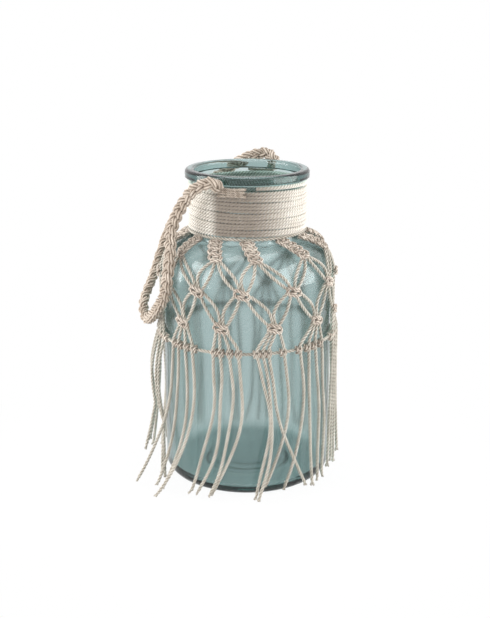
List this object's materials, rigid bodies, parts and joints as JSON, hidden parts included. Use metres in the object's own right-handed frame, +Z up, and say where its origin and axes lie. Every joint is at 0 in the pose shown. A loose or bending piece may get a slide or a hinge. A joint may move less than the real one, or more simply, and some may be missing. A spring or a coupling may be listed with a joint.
{
  "type": "macrame glass vase",
  "caption": "Tall clear teal glass jar with a rolled rim, its neck wound with twine, a knotted cord net over the shoulder, a long fringe and a swinging rope handle.",
  "frame": {"origin": "middle of the jar's flat underside, where it stands", "axes": "+Z up along the jar's axis; -Y towards the front of the picture; the rope handle hangs on the -X side"},
  "size_m": [0.1965, 0.1755, 0.2885],
  "materials": {
    "teal_glass": "clear pale teal, smooth, slightly wavy",
    "natural_cotton": "undyed twisted cotton cord",
    "pale_twine": "undyed twisted twine",
    "plaited_rope": "plaited undyed rope, a little darker than the net"
  },
  "bodies": {
    "vase": {"glass_jar": "teal_glass", "neck_winding": "pale_twine", "header_cord": "natural_cotton", "band_cord": "natural_cotton", "sinnet_01": "natural_cotton", "sinnet_02": "natural_cotton", "sinnet_03": "natural_cotton", "sinnet_04": "natural_cotton", "sinnet_05": "natural_cotton", "sinnet_06": "natural_cotton", "sinnet_07": "natural_cotton", "sinnet_08": "natural_cotton", "sinnet_09": "natural_cotton", "sinnet_10": "natural_cotton", "sinnet_11": "natural_cotton", "sinnet_12": "natural_cotton", "upper_knot_01": "natural_cotton", "upper_knot_02": "natural_cotton", "upper_knot_03": "natural_cotton", "upper_knot_04": "natural_cotton", "upper_knot_05": "natural_cotton", "upper_knot_06": "natural_cotton", "upper_knot_07": "natural_cotton", "upper_knot_08": "natural_cotton", "upper_knot_09": "natural_cotton", "upper_knot_10": "natural_cotton", "upper_knot_11": "natural_cotton", "upper_knot_12": "natural_cotton", "tassel_01": "natural_cotton", "tassel_02": "natural_cotton", "tassel_03": "natural_cotton", "tassel_04": "natural_cotton", "tassel_05": "natural_cotton", "tassel_06": "natural_cotton", "tassel_07": "natural_cotton", "tassel_08": "natural_cotton", "tassel_09": "natural_cotton", "tassel_10": "natural_cotton", "tassel_11": "natural_cotton", "tassel_12": "natural_cotton", "handle_tail_front": "plaited_rope", "handle_tail_back": "plaited_rope"},
    "handle": {"rope_handle": "plaited_rope"}
  },
  "joints": [
    {"name": "handle_swing", "type": "hinge", "parent": "vase", "child": "handle", "pos_m": [0, 0, 0.2715], "axis": [0.3907, 0.9205, 0], "range_deg": [0, 200]}
  ]
}
